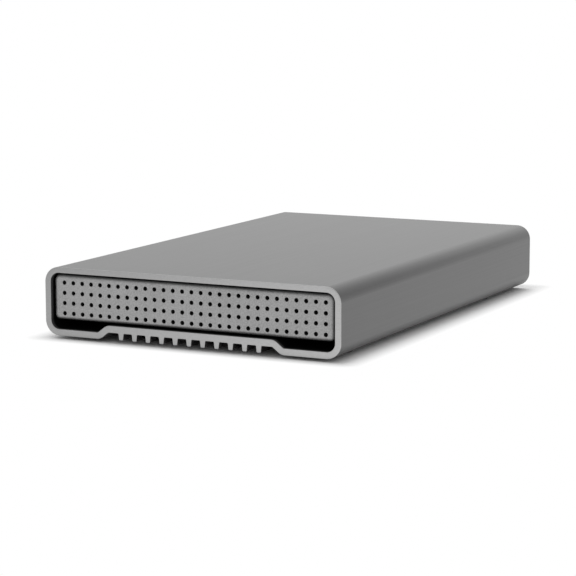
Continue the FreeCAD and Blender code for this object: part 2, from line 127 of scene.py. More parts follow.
# Inlet and activity lamp
shell_low, shell_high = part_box("usb_c_shell")
tongue_low, tongue_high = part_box("usb_c_tongue")
pipe_low, pipe_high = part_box("light_pipe")
shell_sheet = 0.3 * MM
shell_mouth_ease = 0.06 * MM
slot_gap = 0.15 * MM
end_flat = 0.1 * MM
tongue_width = 6.69 * MM
tongue_thickness = 0.7 * MM
tongue_reach = 4.45 * MM
tongue_tip_ease = 0.175 * MM
contact_pitch = 0.5 * MM
contact_width = 0.27 * MM
contact_length = 3.4 * MM
contact_lift = 0.02 * MM
contacts_in_row = 12
pipe_radius = 1.0 * MM
pipe_gap = 0.1 * MM
pipe_flange_length = 0.5 * MM
pipe_dome = 0.25 * MM
pipe_dome_reach = 0.9

# Roundness
ease_segments = 3
edge_segments = 6
dome_segments = 6
hole_segments = 16
turned_segments = 40
table_segments = 96
least_corner_segments = 4
corner_segments_per_mm = 3
sharp_angle = radians(20)
level_limit = 0.001 * MM

# Directions for round pieces and holes, which are drawn round Z
facing_front = Matrix.Rotation(pi / 2, 4, "X")
facing_rear = Matrix.Rotation(-pi / 2, 4, "X")
facing_down = Matrix.Rotation(pi, 4, "X")

# Anodised metal: blast grain, draw lines along the length and slow mottling
sleeve_dark = 0.142
sleeve_light = 0.242
sleeve_grain = 0.4 * MM
sleeve_grain_share = 0.4
sleeve_roughness = 0.48
draw_line = 0.35 * MM
draw_stretch = (1, 0.004, 1)
mottling = 14 * MM
# Painted light on the sleeve's outside: lighter towards the rear, and along its rounded upper edges
# darker at the front and lighter at the rear
painted_rear_light = 0.07
painted_edge_light = 0.05
painted_edge_light_rearward = 0.2

# Sleeve's inside: anodised, with painted shade that blackens it behind its two mouths
mouth_dark = 0.16
mouth_light = 0.218
# Painted shade inside the sleeve: near black, reached over this depth behind each mouth
inside_painted_shade = 0.004
inside_shade_fade = 1.3 * MM
inside_grain = 0.16 * MM
inside_roughness = 0.55

# Cut ends of the sleeve
cut_dark = 0.306
cut_light = 0.565
# Painted light on the cut ends: brighter to the right and downwards
cut_painted_sweep = 0.15
cut_painted_fall = 0.035
cut_grain = 0.2 * MM
cut_roughness = 0.42
cutter_mark = 1.2 * MM
cutter_detail = 4.0
cutter_stretch = (1, 1, 12)
cutter_share = 0.6

# Plated metal and the tray's sheet
plating_cloud = 2.5 * MM
plating_detail = 3.0
scuff = 0.15 * MM
sheet_dark = 0.56
sheet_light = 0.66
sheet_roughness = 0.35
rolled_stretch = (1, 0.02, 1)
# Painted shade on the tray's front edge, in the gap under the front panel
tray_edge_painted_shade = 0.004
tray_edge_shade_reach = 0.4 * MM
sheared_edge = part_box("drive_tray")[0].y

# Moulded plastic and the panels' paint
pebble_grain = 0.12 * MM
pebble_share = 0.5
plastic_cloud = 3 * MM
paint_dark = 0.153
paint_light = 0.608
paint_grain = 0.25 * MM
paint_detail = 1.0
paint_grain_share = 0.85
paint_cloud = 9 * MM
# Painted shade round the panels' edges and behind their faces: near black, reached over this depth with
# this falloff
panel_edge_shade_reach = 0.8 * MM
panel_edge_shade_falloff = 2
paint_roughness = 0.52
panel_edge_painted_shade = 0.006

# Circuit boards
mask_dark = (0.008, 0.06, 0.025, 1)
mask_light = (0.012, 0.085, 0.035, 1)
mask_over_track = (0.03, 0.15, 0.06, 1)
mask_cloud = 4 * MM
mask_roughness = 0.35
mask_coat = 0.3
track_pitch = 2.2 * MM
track_width = 0.08

# Lamp pipe
pipe_dark = 0.86
pipe_light = 0.95
pipe_haze = 0.6 * MM
pipe_roughness = 0.17
pipe_clearness = 0.85
pipe_refraction = 1.49

# Relief of the finishes, and how far their patterns swing the roughness
grain_relief = 0.004 * MM
cut_relief = 0.002 * MM
scuff_relief = 0.001 * MM
track_relief = 0.02 * MM
fine_swing = 0.1
mottling_swing = 0.06
scuff_swing = 0.12
pebble_swing = 0.15
matt_specular = 0.1

# Table and camera
table_radius = 12.0
table_white = 0.95
shadow_reach = Vector((5.1, 4.4, 4.4)) * MM
shadow_past_rear = Vector((0, 4, 0)) * MM
sensor_width = 36.0
focal_length = 137.2
camera_place = Vector((246.17, -509.64, 93.56)) * MM
camera_azimuth = radians(26.2)
camera_elevation = radians(8.774)
camera_roll = radians(-0.08)

# Room light, and where it differs: azimuth and elevation in degrees, focus, strength
room_level = 0.7
right_flag = (120, 30, 3, -0.18)
rear_left_light = (215, 50, 4, 0.92)

# Derived places
case_half = sleeve_high.x
case_height = sleeve_high.z
case_length = sleeve_high.y - sleeve_low.y
inner_half = case_half - side_wall
inner_top = case_height - top_wall
skid_z = sleeve_low.z
skid_top = skid_z + skid_wall
recess_z = skid_z + recess_depth
floor_top = recess_z + floor_wall
skid_half = case_half - skid_width
shoulder_slope = tan(shoulder_angle)
recess_half = skid_half - recess_depth / shoulder_slope
shoulder_wall = (skid_wall + floor_wall) / 2
channel_half = skid_half - skid_wall / shoulder_slope + shoulder_wall / sin(shoulder_angle)
raised_half = channel_half - (floor_top - skid_top) / shoulder_slope
foot_x = feet_high.x - foot_radius * flat_share
foot_front = feet_low.y + foot_radius * flat_share
foot_rear = feet_high.y - foot_radius * flat_share
panel_half = grille_high.x
panel_foot = grille_low.z
panel_top = grille_high.z
panel_screw_radius = (panel_screw_high.z - panel_screw_low.z) / 2 / flat_share
panel_screw_x = panel_screw_high.x - panel_screw_radius * flat_share
panel_screw_z = (panel_screw_high.z + panel_screw_low.z) / 2
case_screw_radius = (case_screw_high.y - case_screw_low.y) / 2 / flat_share
case_screw_x = case_screw_high.x - case_screw_radius * flat_share
case_screw_y = (case_screw_high.y + case_screw_low.y) / 2
pipe_flange_radius = (pipe_high.z - pipe_low.z) / 2 / flat_share
pipe_x = (pipe_low.x + pipe_high.x) / 2
pipe_z = (pipe_low.z + pipe_high.z) / 2
shell_z = (shell_low.z + shell_high.z) / 2
sleeve_middle = (sleeve_low + sleeve_high) / 2


class Value:
    """A socket of a node tree. Arithmetic on it adds Math nodes."""

    def __init__(self, nodes, socket):
        self.nodes = nodes
        self.socket = socket

    def output(self, name):
        return Value(self.nodes, self.socket.node.outputs[name])

    def math(self, operation, *inputs, clamp=False):
        settings = {"operation": operation, "use_clamp": clamp}
        return self.nodes.add("ShaderNodeMath", settings, dict(enumerate(inputs)))

    def __add__(self, other):
        return self.math("ADD", self, other)

    def __radd__(self, other):
        return self.math("ADD", other, self)

    def __sub__(self, other):
        return self.math("SUBTRACT", self, other)

    def __rsub__(self, other):
        return self.math("SUBTRACT", other, self)

    def __mul__(self, other):
        return self.math("MULTIPLY", self, other)

    def __pow__(self, other):
        return self.math("POWER", self, other)

    def above(self, edge):
        return self.math("GREATER_THAN", self, edge)

    def at_least(self, least):
        return self.math("MAXIMUM", self, least)

    def size(self):
        return self.math("ABSOLUTE", self)

    def clamped(self):
        return self.math("ADD", self, 0.0, clamp=True)


class Nodes:
    """A node tree written as Python expressions."""

    def __init__(self, tree):
        self.tree = tree

    def add(self, kind, settings, sockets, output=0):
        node = self.tree.nodes.new(kind)
        for name, setting in settings.items():
            setattr(node, name, setting)
        for name, value in sockets.items():
            self.feed(node.inputs[name], value)
        return Value(self, node.outputs[output])

    def feed(self, socket, value):
        if isinstance(value, Value):
            self.tree.links.new(value.socket, socket)
        else:
            socket.default_value = value

    def vector(self, operation, *inputs, output="Vector"):
        return self.add("ShaderNodeVectorMath", {"operation": operation}, dict(enumerate(inputs)), output)

    def mix(self, share, first, second):
        """Colour between the first and the second, through the Mix node's sockets for colours."""
        settings = {"data_type": "RGBA"}
        return self.add("ShaderNodeMix", settings, {0: share, 6: first, 7: second}, 2)

    def stretched(self, place, scale):
        return self.add("ShaderNodeMapping", {}, {"Vector": place, "Scale": scale})

    def noise(self, place, size, detail=2.0):
        """Cloudy pattern whose spots are about the given size."""
        sockets = {"Vector": place, "Scale": 1 / size, "Detail": detail}
        return self.add("ShaderNodeTexNoise", {}, sockets)


class Finish(Nodes):
    """A material with its shader at hand, patterned on the piece's own coordinates."""

    def __init__(self, name):
        self.material = bpy.data.materials.new(name)
        self.material.use_nodes = True
        super().__init__(self.material.node_tree)
        self.shader = self.tree.nodes["Principled BSDF"]
        self.place = self.add("ShaderNodeTexCoord", {}, {}, "Object")

    def along(self, axis):
        """The place along one axis of the frame."""
        return self.add("ShaderNodeSeparateXYZ", {}, {"Vector": self.place}, axis)

    def shade(self, sockets):
        for name, value in sockets.items():
            self.feed(self.shader.inputs[name], value)
        return self.material

    def relief(self, height, depth):
        return self.add("ShaderNodeBump", {}, {"Height": height, "Distance": depth})


def grey(level):
    return (level, level, level, 1)


def varied(level, *swings):
    """The level, moved up and down by half the swing of each (pattern, swing) pair."""
    for pattern, swing in swings:
        level = pattern * swing + (level - swing / 2)
    return level


def blasted_metal(finish, dark, light, grain_size, grain_share, roughness, painted_light_scale):
    """Blasted and anodised aluminium: fine grain, faint draw lines along the length, slow mottling."""
    grain = finish.noise(finish.place, grain_size)
    lines = finish.noise(finish.stretched(finish.place, draw_stretch), draw_line)
    clouds = finish.noise(finish.place, mottling)
    rest = (1 - grain_share) / 2
    shade = (grain * grain_share + lines * rest + clouds * rest) * (light - dark) + dark
    return finish.shade({
        # Painted light: the last argument scales the base colour; 1.0 paints none
        "Base Color": shade * painted_light_scale,
        "Metallic": 1.0,
        "Roughness": varied(roughness, (grain, fine_swing), (clouds, mottling_swing)),
        "Normal": finish.relief(grain, grain_relief),
    })


def anodised_sleeve():
    """The sleeve's outside, with painted light: a little lighter towards the rear, and along its rounded
    upper edges darker at the front and lighter at the rear.
    """
    finish = Finish("anodised_grey_painted_light")
    across = (finish.along("X").size() - (case_half - outer_corner)).at_least(0.0)
    up = (finish.along("Z") - (case_height - outer_corner)).at_least(0.0)
    edge = across * up * (2 / outer_corner ** 2)
    rearward = finish.along("Y") * (2 / case_length)
    # Painted light: the colour rises towards the rear, and along the rounded upper edges falls at the
    # front and rises at the rear
    painted_light_scale = rearward * painted_rear_light + edge * (rearward * painted_edge_light_rearward + painted_edge_light) + 1
    return blasted_metal(
        finish, sleeve_dark, sleeve_light, sleeve_grain, sleeve_grain_share, sleeve_roughness, painted_light_scale)


def dark_inside():
    """The sleeve's inside, anodised near its two mouths, with painted shade that blackens it behind them.
    """
    finish = Finish("sleeve_inside_painted_shade")
    grain = finish.noise(finish.place, inside_grain)
    depth = case_length / 2 - (finish.along("Y") - sleeve_middle.y).size()
    mouth = (1 - depth * (1 / inside_shade_fade)).clamped()
    anodised_mouth = finish.mix(grain, grey(mouth_dark), grey(mouth_light))
    return finish.shade({
        # Painted shade: colour and metal fade to near black deeper behind each mouth
        "Base Color": finish.mix(mouth, grey(inside_painted_shade), anodised_mouth),
        "Metallic": mouth,
        "Specular IOR Level": matt_specular,
        "Roughness": varied(inside_roughness, (grain, fine_swing)),
    })


def cut_ends():
    """The sleeve's cut ends: fine cutter marks, with painted light that brightens them slowly to the
    right and downwards.
    """
    finish = Finish("cut_metal_painted_light")
    sideways = finish.along("X") * (cut_painted_sweep / case_half)
    upwards = (finish.along("Z") - sleeve_middle.z) * (2 * cut_painted_fall / case_height)
    # Painted light: the colour rises to the right and falls upwards
    painted_light_sweep = sideways - upwards + 1
    marks = finish.noise(finish.stretched(finish.place, cutter_stretch), cutter_mark, cutter_detail)
    grain = finish.noise(finish.place, cut_grain)
    shade = (marks * cutter_share + grain * (1 - cutter_share)) * (cut_light - cut_dark) + cut_dark
    return finish.shade({
        "Base Color": shade * painted_light_sweep,
        "Metallic": 1.0,
        "Roughness": varied(cut_roughness, (marks, fine_swing)),
        "Normal": finish.relief(grain, cut_relief),
    })


def plated_metal(name, dark, light, roughness):
    """Plated steel or contacts, with slow clouding and fine scuffs."""
    finish = Finish(name)
    clouds = finish.noise(finish.place, plating_cloud, plating_detail)
    scuffs = finish.noise(finish.place, scuff)
    return finish.shade({
        "Base Color": finish.mix(clouds, dark, light),
        "Metallic": 1.0,
        "Roughness": varied(roughness, (scuffs, scuff_swing), (clouds, fine_swing)),
        "Normal": finish.relief(scuffs, scuff_relief),
    })


def tray_metal():
    """Mill-finish sheet, with painted shade that makes its front edge near black."""
    finish = Finish("tray_sheet")
    clouds = finish.noise(finish.place, plating_cloud, plating_detail)
    scuffs = finish.noise(finish.stretched(finish.place, rolled_stretch), scuff)
    behind = ((finish.along("Y") - sheared_edge) * (1 / tray_edge_shade_reach)).clamped()
    sheet = finish.mix(clouds, grey(sheet_dark), grey(sheet_light))
    return finish.shade({
        # Painted shade: colour and metal fade to near black at the front edge
        "Base Color": finish.mix(behind, grey(tray_edge_painted_shade), sheet),
        "Metallic": behind,
        "Specular IOR Level": matt_specular,
        "Roughness": varied(sheet_roughness, (scuffs, scuff_swing), (clouds, fine_swing)),
    })


def moulded_plastic(name, dark, light, roughness):
    """Moulded or cast material with a fine pebble."""
    finish = Finish(name)
    pebble = finish.noise(finish.place, pebble_grain)
    clouds = finish.noise(finish.place, plastic_cloud)
    return finish.shade({
        "Base Color": finish.mix(pebble * pebble_share + clouds * (1 - pebble_share), dark, light),
        "Roughness": varied(roughness, (pebble, pebble_swing)),
        "Normal": finish.relief(pebble, grain_relief),
    })


def painted_panel(name, face_y, inward):
    """Panel with speckled silver paint on its face, and painted shade that turns it near black round its
    edges and behind the face.
    """
    finish = Finish(name)
    speckle = finish.noise(finish.place, paint_grain, paint_detail)
    clouds = finish.noise(finish.place, paint_cloud)
    edge_shade_share = ((finish.along("Y") - face_y) * (inward / panel_edge_shade_reach)).clamped()
    paint = (1 - edge_shade_share) ** panel_edge_shade_falloff
    shade = speckle * paint_grain_share + clouds * (1 - paint_grain_share)
    silver = finish.mix(shade, grey(paint_dark), grey(paint_light))
    return finish.shade({
        # Painted shade: colour and metal fade to near black deeper behind the face, round the edges
        "Base Color": finish.mix(paint, grey(panel_edge_painted_shade), silver),
        "Metallic": paint,
        "Specular IOR Level": matt_specular,
        "Roughness": varied(paint_roughness, (speckle, fine_swing)),
        "Normal": finish.relief(speckle, grain_relief),
    })


def circuit_board():
    """Green solder mask over copper tracks."""
    finish = Finish("solder_mask_green")
    settings = {"feature": "DISTANCE_TO_EDGE"}
    sockets = {"Vector": finish.place, "Scale": 1 / track_pitch}
    tracks = 1 - finish.add("ShaderNodeTexVoronoi", settings, sockets, "Distance").above(track_width)
    clouds = finish.noise(finish.place, mask_cloud)
    mask = finish.mix(clouds, mask_dark, mask_light)
    return finish.shade({
        "Base Color": finish.mix(tracks, mask, mask_over_track),
        "Roughness": varied(mask_roughness, (clouds, fine_swing)),
        "Normal": finish.relief(tracks, track_relief),
        "Coat Weight": mask_coat,
    })


def clear_pipe():
    """Clear moulded plastic with a faint haze."""
    finish = Finish("clear_lamp_pipe")
    haze = finish.noise(finish.place, pipe_haze)
    return finish.shade({
        "Base Color": finish.mix(haze, grey(pipe_dark), grey(pipe_light)),
        "Roughness": varied(pipe_roughness, (haze, fine_swing)),
        "Transmission Weight": pipe_clearness,
        "IOR": pipe_refraction,
    })


def arc_segments(radius):
    """Segments of a rounded corner, more of them on a larger one."""
    return round(least_corner_segments + corner_segments_per_mm * radius / MM)


def rounded_face(bm, corners, place):
    """Flat face through (u, v, radius) corners, each rounded by a bevel."""
    known = set(bm.faces)
    verts = [bm.verts.new(place(u, v)) for u, v, radius in corners]
    bm.faces.new(verts)
    half_turns = []
    for before, vert, after in zip(verts[-1:] + verts, verts, verts[1:] + verts[:1]):
        half_turns.append((before.co - vert.co).angle(after.co - vert.co) / 2)
    for vert, half_turn, (u, v, radius) in zip(verts, half_turns, corners):
        if radius:
            bmesh.ops.bevel(
                bm, geom=[vert], offset=radius / tan(half_turn), offset_type="OFFSET",
                segments=arc_segments(radius), profile=0.5, affect="VERTICES", material=-1)
    return next(face for face in bm.faces if face not in known)


def rounded_ring(bm, corners, place):
    """The edges of a rounded outline, with no face."""
    face = rounded_face(bm, corners, place)
    edges = list(face.edges)
    bm.faces.remove(face)
    return edges


def circle(bm, radius, place, segments):
    """The edges of a circle round a place's own Z axis."""
    made = bmesh.ops.create_circle(bm, segments=segments, radius=radius, matrix=place)
    return list({edge for vert in made["verts"] for edge in vert.link_edges})


def bridge(bm, rings):
    """Walls from each ring to the next. Returns their faces."""
    walls = []
    for first, second in zip(rings, rings[1:]):
        walls += bmesh.ops.bridge_loops(bm, edges=first + second)["faces"]
    return walls


def fill(bm, edges):
    """Flat faces between an outline and the holes in it."""
    made = bmesh.ops.triangle_fill(bm, use_beauty=True, edges=edges)["geom"]
    return [part for part in made if isinstance(part, bmesh.types.BMFace)]


def pierce(bm, face, holes):
    """Puts a flat face again, with holes in it."""
    edges = list(face.edges)
    finish = face.material_index
    bm.faces.remove(face)
    for part in fill(bm, edges + [edge for hole in holes for edge in hole]):
        part.material_index = finish


def extrude(bm, faces, travel):
    """Makes a solid of flat faces along the travel, and returns the faces at its far end."""
    made = bmesh.ops.extrude_face_region(bm, geom=faces)["geom"]
    moved = [part for part in made if isinstance(part, bmesh.types.BMVert)]
    bmesh.ops.translate(bm, vec=travel, verts=moved)
    return [part for part in made if isinstance(part, bmesh.types.BMFace)]


def ease_end(bm, faces, ease):
    """Rounds the rims of a flat end by stepped insets, and returns all its faces."""
    turns = [pi / 2 * step / ease_segments for step in range(ease_segments + 1)]
    end = list(faces)
    for start, stop in zip(turns, turns[1:]):
        end += bmesh.ops.inset_region(
            bm, faces=faces, use_boundary=True, use_even_offset=True,
            thickness=ease * (cos(start) - cos(stop)), depth=ease * (sin(stop) - sin(start)))["faces"]
    return end


def mirrored(corners):
    """The corners of a right half, then of its mirror image, as one closed outline."""
    return corners + [(-u, v, radius) for u, v, radius in reversed(corners)]


def section_at(y):
    """Places an (across, height) pair on the upright plane at y."""
    return lambda u, v: Vector((u, y, v))


def finish_piece(name, bm, finishes, node):
    """Makes the mesh a piece that stands for a node of the frame."""
    bmesh.ops.recalc_face_normals(bm, faces=bm.faces)
    mesh = bpy.data.meshes.new(name)
    bm.to_mesh(mesh)
    bm.free()
    for finish in finishes:
        mesh.materials.append(finish)
    mesh.polygons.foreach_set("use_smooth", [True] * len(mesh.polygons))
    mesh.set_sharp_from_angle(angle=sharp_angle)
    piece = bpy.data.objects.new(name, mesh)
    bpy.context.scene.collection.objects.link(piece)
    piece.modifiers.new("flat_faces_stay_flat", "WEIGHTED_NORMAL").keep_sharp = True
    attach(piece, "root")
    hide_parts(node)


def fin_corners():
    """The underside of the raised floor from right to left, down and up each tapered fin."""
    reach = floor((recess_half - fin_root / 2 - fin_margin) / fin_pitch)
    corners = []
    for step in range(reach, -reach - 1, -1):
        x = step * fin_pitch
        corners += [
            (x + fin_root / 2, recess_z, fin_ease),
            (x + fin_tip / 2, skid_z + fin_lift, fin_ease),
            (x - fin_tip / 2, skid_z + fin_lift, fin_ease),
            (x - fin_root / 2, recess_z, fin_ease),
        ]
    return corners


def face_at(bm, x, y, z):
    """The level face that holds a point."""
    def holds(face):
        low = [min(vert.co[axis] for vert in face.verts) for axis in range(3)]
        high = [max(vert.co[axis] for vert in face.verts) for axis in range(3)]
        level = high[2] - low[2] < level_limit and abs(low[2] - z) < level_limit
        return level and low[0] < x < high[0] and low[1] < y < high[1]
    return next(face for face in bm.faces if holds(face))


def screw_seat(bm, x, y):
    """Countersunk bore through a skid."""
    mouth_radius = case_screw_radius + screw_seat_gap
    bore_radius = case_shank_radius + screw_seat_gap
    cone_top = screw_seat_rim + mouth_radius - bore_radius
    stations = [
        (mouth_radius, 0),
        (mouth_radius, screw_seat_rim),
        (bore_radius, cone_top),
        (bore_radius, skid_wall),
    ]
    rings = []
    for radius, height in stations:
        rings.append(circle(bm, radius, Matrix.Translation((x, y, skid_z + height)), turned_segments))
    bridge(bm, rings)
    pierce(bm, face_at(bm, x, y, skid_z), rings[:1])
    pierce(bm, face_at(bm, x, y, skid_top), rings[-1:])


def sleeve():
    """Extruded sleeve with skids, a raised finned floor and rounded cut ends."""
    bm = bmesh.new()
    finishes = [anodised, cut_metal_painted_light, sleeve_inside_painted_shade]
    bend = shoulder_bend + shoulder_wall
    right_outside = [
        (case_half, case_height, outer_corner),
        (case_half, skid_z, outer_corner),
        (skid_half, skid_z, bend),
        (recess_half, recess_z, shoulder_bend),
    ]
    left_outside = [(-x, z, radius) for x, z, radius in reversed(right_outside)]
    inside = mirrored([
        (inner_half, inner_top, outer_corner - side_wall),
        (inner_half, skid_top, outer_corner - side_wall),
        (channel_half, skid_top, shoulder_bend),
        (raised_half, floor_top, bend),
    ])
    place = section_at(sleeve_low.y + cut_edge_ease)
    outline = rounded_ring(bm, right_outside + fin_corners() + left_outside, place)
    hollow = rounded_ring(bm, inside, place)
    front = fill(bm, outline + hollow)
    rear = extrude(bm, front, Vector((0, case_length - 2 * cut_edge_ease, 0)))
    for face in {face for edge in hollow for face in edge.link_faces}:
        face.material_index = finishes.index(sleeve_inside_painted_shade)
    bmesh.ops.recalc_face_normals(bm, faces=bm.faces)
    for face in ease_end(bm, front, cut_edge_ease) + ease_end(bm, rear, cut_edge_ease):
        face.material_index = finishes.index(cut_metal_painted_light)
    for side in (1, -1):
        screw_seat(bm, side * case_screw_x, case_screw_y)
    finish_piece("sleeve", bm, finishes, "housing")


def snap_arm(bm, side, back, tip, inward):
    """Arm behind a panel, with a barb that turns towards the middle."""
    outside = (arm_outside - arm_thickness) * side
    shoulder = tip - inward * barb_length
    corners = [
        (outside, back, 0),
        (arm_outside * side, back, 0),
        (arm_outside * side, tip, 0),
        (outside, tip, 0),
        (outside - barb_depth * side, tip - inward * barb_ramp, 0),
        (outside - barb_depth * side, shoulder, 0),
        (outside, shoulder, 0),
    ]
    face = rounded_face(bm, corners, lambda u, v: Vector((u, v, arm_z - arm_height / 2)))
    extrude(bm, [face], Vector((0, 0, arm_height)))


def panel_plate(bm, face_y, inward):
    """Panel with rounded outer edges. Returns its outer and its inner face."""
    outline = mirrored([
        (panel_half, panel_top, panel_top_corner),
        (panel_half, panel_foot, panel_foot_corner),
    ])
    inner = rounded_face(bm, outline, section_at(face_y + inward * panel_thickness))
    outer = extrude(bm, [inner], Vector((0, -inward * panel_thickness, 0)))
    bmesh.ops.bevel(
        bm, geom=list(outer[0].edges), offset=panel_edge_round, offset_type="OFFSET",
        segments=edge_segments, profile=0.5, affect="EDGES", material=-1)
    broad = sorted(bm.faces, key=lambda face: face.calc_area())[-2:]
    return sorted(broad, key=lambda face: face.calc_center_median().y * inward)


def grille():
    """Perforated front panel, each hole with a small eased mouth."""
    bm = bmesh.new()
    finishes = [front_paint_edge_shade, hole_wall_shade]
    face_y = grille_low.y
    outer, inner = panel_plate(bm, face_y, 1)
    reach = floor((panel_half - hole_side_margin - hole_shift) / hole_pitch)
    first_row = panel_foot + hole_foot_margin
    rows = floor((panel_top - hole_top_margin - first_row) / hole_pitch) + 1
    stations = ((hole_radius + hole_ease, 0), (hole_radius, hole_ease), (hole_radius, panel_thickness))
    holes = []
    for row in range(rows):
        for column in range(-reach, reach + 1):
            x = hole_shift + column * hole_pitch
            z = first_row + row * hole_pitch
            rings = []
            for radius, depth in stations:
                place = Matrix.Translation((x, face_y + depth, z)) @ facing_front
                rings.append(circle(bm, radius, place, hole_segments))
            # The hole walls take the near-black painted shade
            for wall in bridge(bm, rings):
                wall.material_index = finishes.index(hole_wall_shade)
            holes.append(rings)
    pierce(bm, outer, [rings[0] for rings in holes])
    pierce(bm, inner, [rings[-1] for rings in holes])
    for side in (1, -1):
        snap_arm(bm, side, face_y + panel_thickness, grille_high.y, 1)
    finish_piece("grille", bm, finishes, "front_grille")


def shell_outline(spread):
    """Round-ended outline of the inlet, grown by the spread."""
    half_width = shell_high.x + spread
    half_height = (shell_high.z - shell_low.z) / 2 + spread
    return mirrored([
        (half_width, shell_z + half_height, half_height - end_flat),
        (half_width, shell_z - half_height, half_height - end_flat),
    ])


def rear_cover():
    """Rear panel with the inlet's slot, the lamp's hole and two screw holes."""
    bm = bmesh.new()
    finishes = [rear_paint_edge_shade, hole_wall_shade]
    face_y = rear_high.y
    outer, inner = panel_plate(bm, face_y, -1)
    depths = (face_y, face_y - panel_thickness)
    holes = [[rounded_ring(bm, shell_outline(slot_gap), section_at(y)) for y in depths]]
    round_holes = [(pipe_x, pipe_z, pipe_radius + pipe_gap)]
    for side in (1, -1):
        round_holes.append((side * panel_screw_x, panel_screw_z, panel_shank_radius + panel_shank_gap))
    for x, z, radius in round_holes:
        places = [Matrix.Translation((x, y, z)) @ facing_front for y in depths]
        holes.append([circle(bm, radius, place, turned_segments) for place in places])
    for rings in holes:
        # The walls of the slot and holes take the near-black painted shade
        for wall in bridge(bm, rings):
            wall.material_index = finishes.index(hole_wall_shade)
    pierce(bm, outer, [rings[0] for rings in holes])
    pierce(bm, inner, [rings[-1] for rings in holes])
    for side in (1, -1):
        snap_arm(bm, side, face_y - panel_thickness, rear_low.y, -1)
    finish_piece("rear_cover", bm, finishes, "rear_panel")


def turned(bm, place, stations):
    """Spins (radius, height) stations round a place's own Z axis. Returns the rims at its two ends."""
    verts = [bm.verts.new(place @ Vector((radius, 0, height))) for radius, height in stations]
    profile = [bm.edges.new(pair) for pair in zip(verts, verts[1:])]
    ends = [verts[0].co.copy(), verts[-1].co.copy()]
    axis = place.to_3x3() @ Vector((0, 0, 1))
    bmesh.ops.spin(
        bm, geom=verts + profile, cent=place.translation, axis=axis, dvec=(0, 0, 0),
        angle=2 * pi, steps=turned_segments, use_merge=True)

    def on_rim(edge, end):
        gaps = [abs((vert.co - end).dot(axis)) for vert in edge.verts]
        return edge.is_boundary and max(gaps) < level_limit

    return [[edge for edge in bm.edges if on_rim(edge, end)] for end in ends]


def cross_recess(bm, place, top_ring, top, reach, width, depth):
    """Cross-shaped driver recess in the flat top of a screw's head."""
    corners = []
    for quarter in range(4):
        turn = Matrix.Rotation(quarter * pi / 2, 2)
        for arm in ((reach, -width), (reach, width), (width, width)):
            corners.append((*(turn @ Vector(arm)), 0))
    mouth = rounded_ring(bm, corners, lambda u, v: place @ Vector((u, v, top)))
    fill(bm, top_ring + mouth)
    made = bmesh.ops.extrude_edge_only(bm, edges=mouth)["geom"]
    floor_verts = [part for part in made if isinstance(part, bmesh.types.BMVert)]
    floor_edges = [part for part in made if isinstance(part, bmesh.types.BMEdge)]
    axis = place @ Matrix.Translation((0, 0, top - depth))
    bmesh.ops.translate(bm, vec=place.to_3x3() @ Vector((0, 0, -depth)), verts=floor_verts)
    bmesh.ops.scale(bm, vec=(cross_taper,) * 3, space=axis.inverted(), verts=floor_verts)
    fill(bm, floor_edges)


def dome(radius, base, height, reach):
    """Stations up a rounded cap, from its rim at the base to the given reach of a quarter turn."""
    turns = [reach * pi / 2 * step / dome_segments for step in range(dome_segments + 1)]
    return [(radius * cos(turn), base + height * sin(turn) / sin(turns[-1])) for turn in turns]


def panel_screws():
    """Pan-headed screws that hold the rear panel."""
    bm = bmesh.new()
    length = panel_screw_high.y - panel_screw_low.y - panel_head_height
    radius = panel_screw_radius
    rim = panel_head_height * head_rim_share
    stations = [
        (panel_shank_radius - thread_depth, -length),
        (panel_shank_radius, -length + thread_depth),
        (panel_shank_radius, 0),
        (radius, 0),
    ]
    stations += dome(radius, rim, panel_head_height - rim, head_dome_reach)
    seat_y = panel_screw_high.y - panel_head_height
    for side in (1, -1):
        place = Matrix.Translation((side * panel_screw_x, seat_y, panel_screw_z)) @ facing_rear
        place = place @ Matrix.Rotation(side * screw_turn, 4, "Z")
        rings = turned(bm, place, stations)
        fill(bm, rings[0])
        cross_recess(
            bm, place, rings[-1], panel_head_height, reach=radius * panel_cross_reach,
            width=radius * panel_cross_width, depth=panel_head_height * panel_cross_depth)
    finish_piece("panel_screws", bm, [screw_steel], "rear_panel_screws")


def skid_screws():
    """Countersunk screws under the skids."""
    bm = bmesh.new()
    length = case_screw_high.z - case_screw_low.z
    radius = case_screw_radius
    head_height = case_head_rim + radius - case_shank_radius
    stations = [
        (case_shank_radius - thread_depth, -length),
        (case_shank_radius, -length + thread_depth),
        (case_shank_radius, -head_height),
        (radius, -case_head_rim),
        (radius, -head_edge_ease),
        (radius - head_edge_ease, 0),
    ]
    for side in (1, -1):
        place = Matrix.Translation((side * case_screw_x, case_screw_y, case_screw_low.z)) @ facing_down
        place = place @ Matrix.Rotation(side * screw_turn, 4, "Z")
        rings = turned(bm, place, stations)
        fill(bm, rings[0])
        cross_recess(
            bm, place, rings[-1], 0, reach=radius * case_cross_reach,
            width=radius * case_cross_width, depth=head_height * case_cross_depth)
    finish_piece("skid_screws", bm, [screw_steel], "case_screws")


def feet():
    """Round rubber feet with eased lower edges."""
    bm = bmesh.new()
    stations = [
        (foot_radius, 0),
        (foot_radius, feet_high.z - foot_ease),
        (foot_radius - foot_ease, feet_high.z),
    ]
    for y in (foot_front, foot_rear):
        for side in (1, -1):
            place = Matrix.Translation((side * foot_x, y, feet_high.z)) @ facing_down
            for rim in turned(bm, place, stations):
                fill(bm, rim)
    finish_piece("feet", bm, [foot_rubber], "rubber_feet")


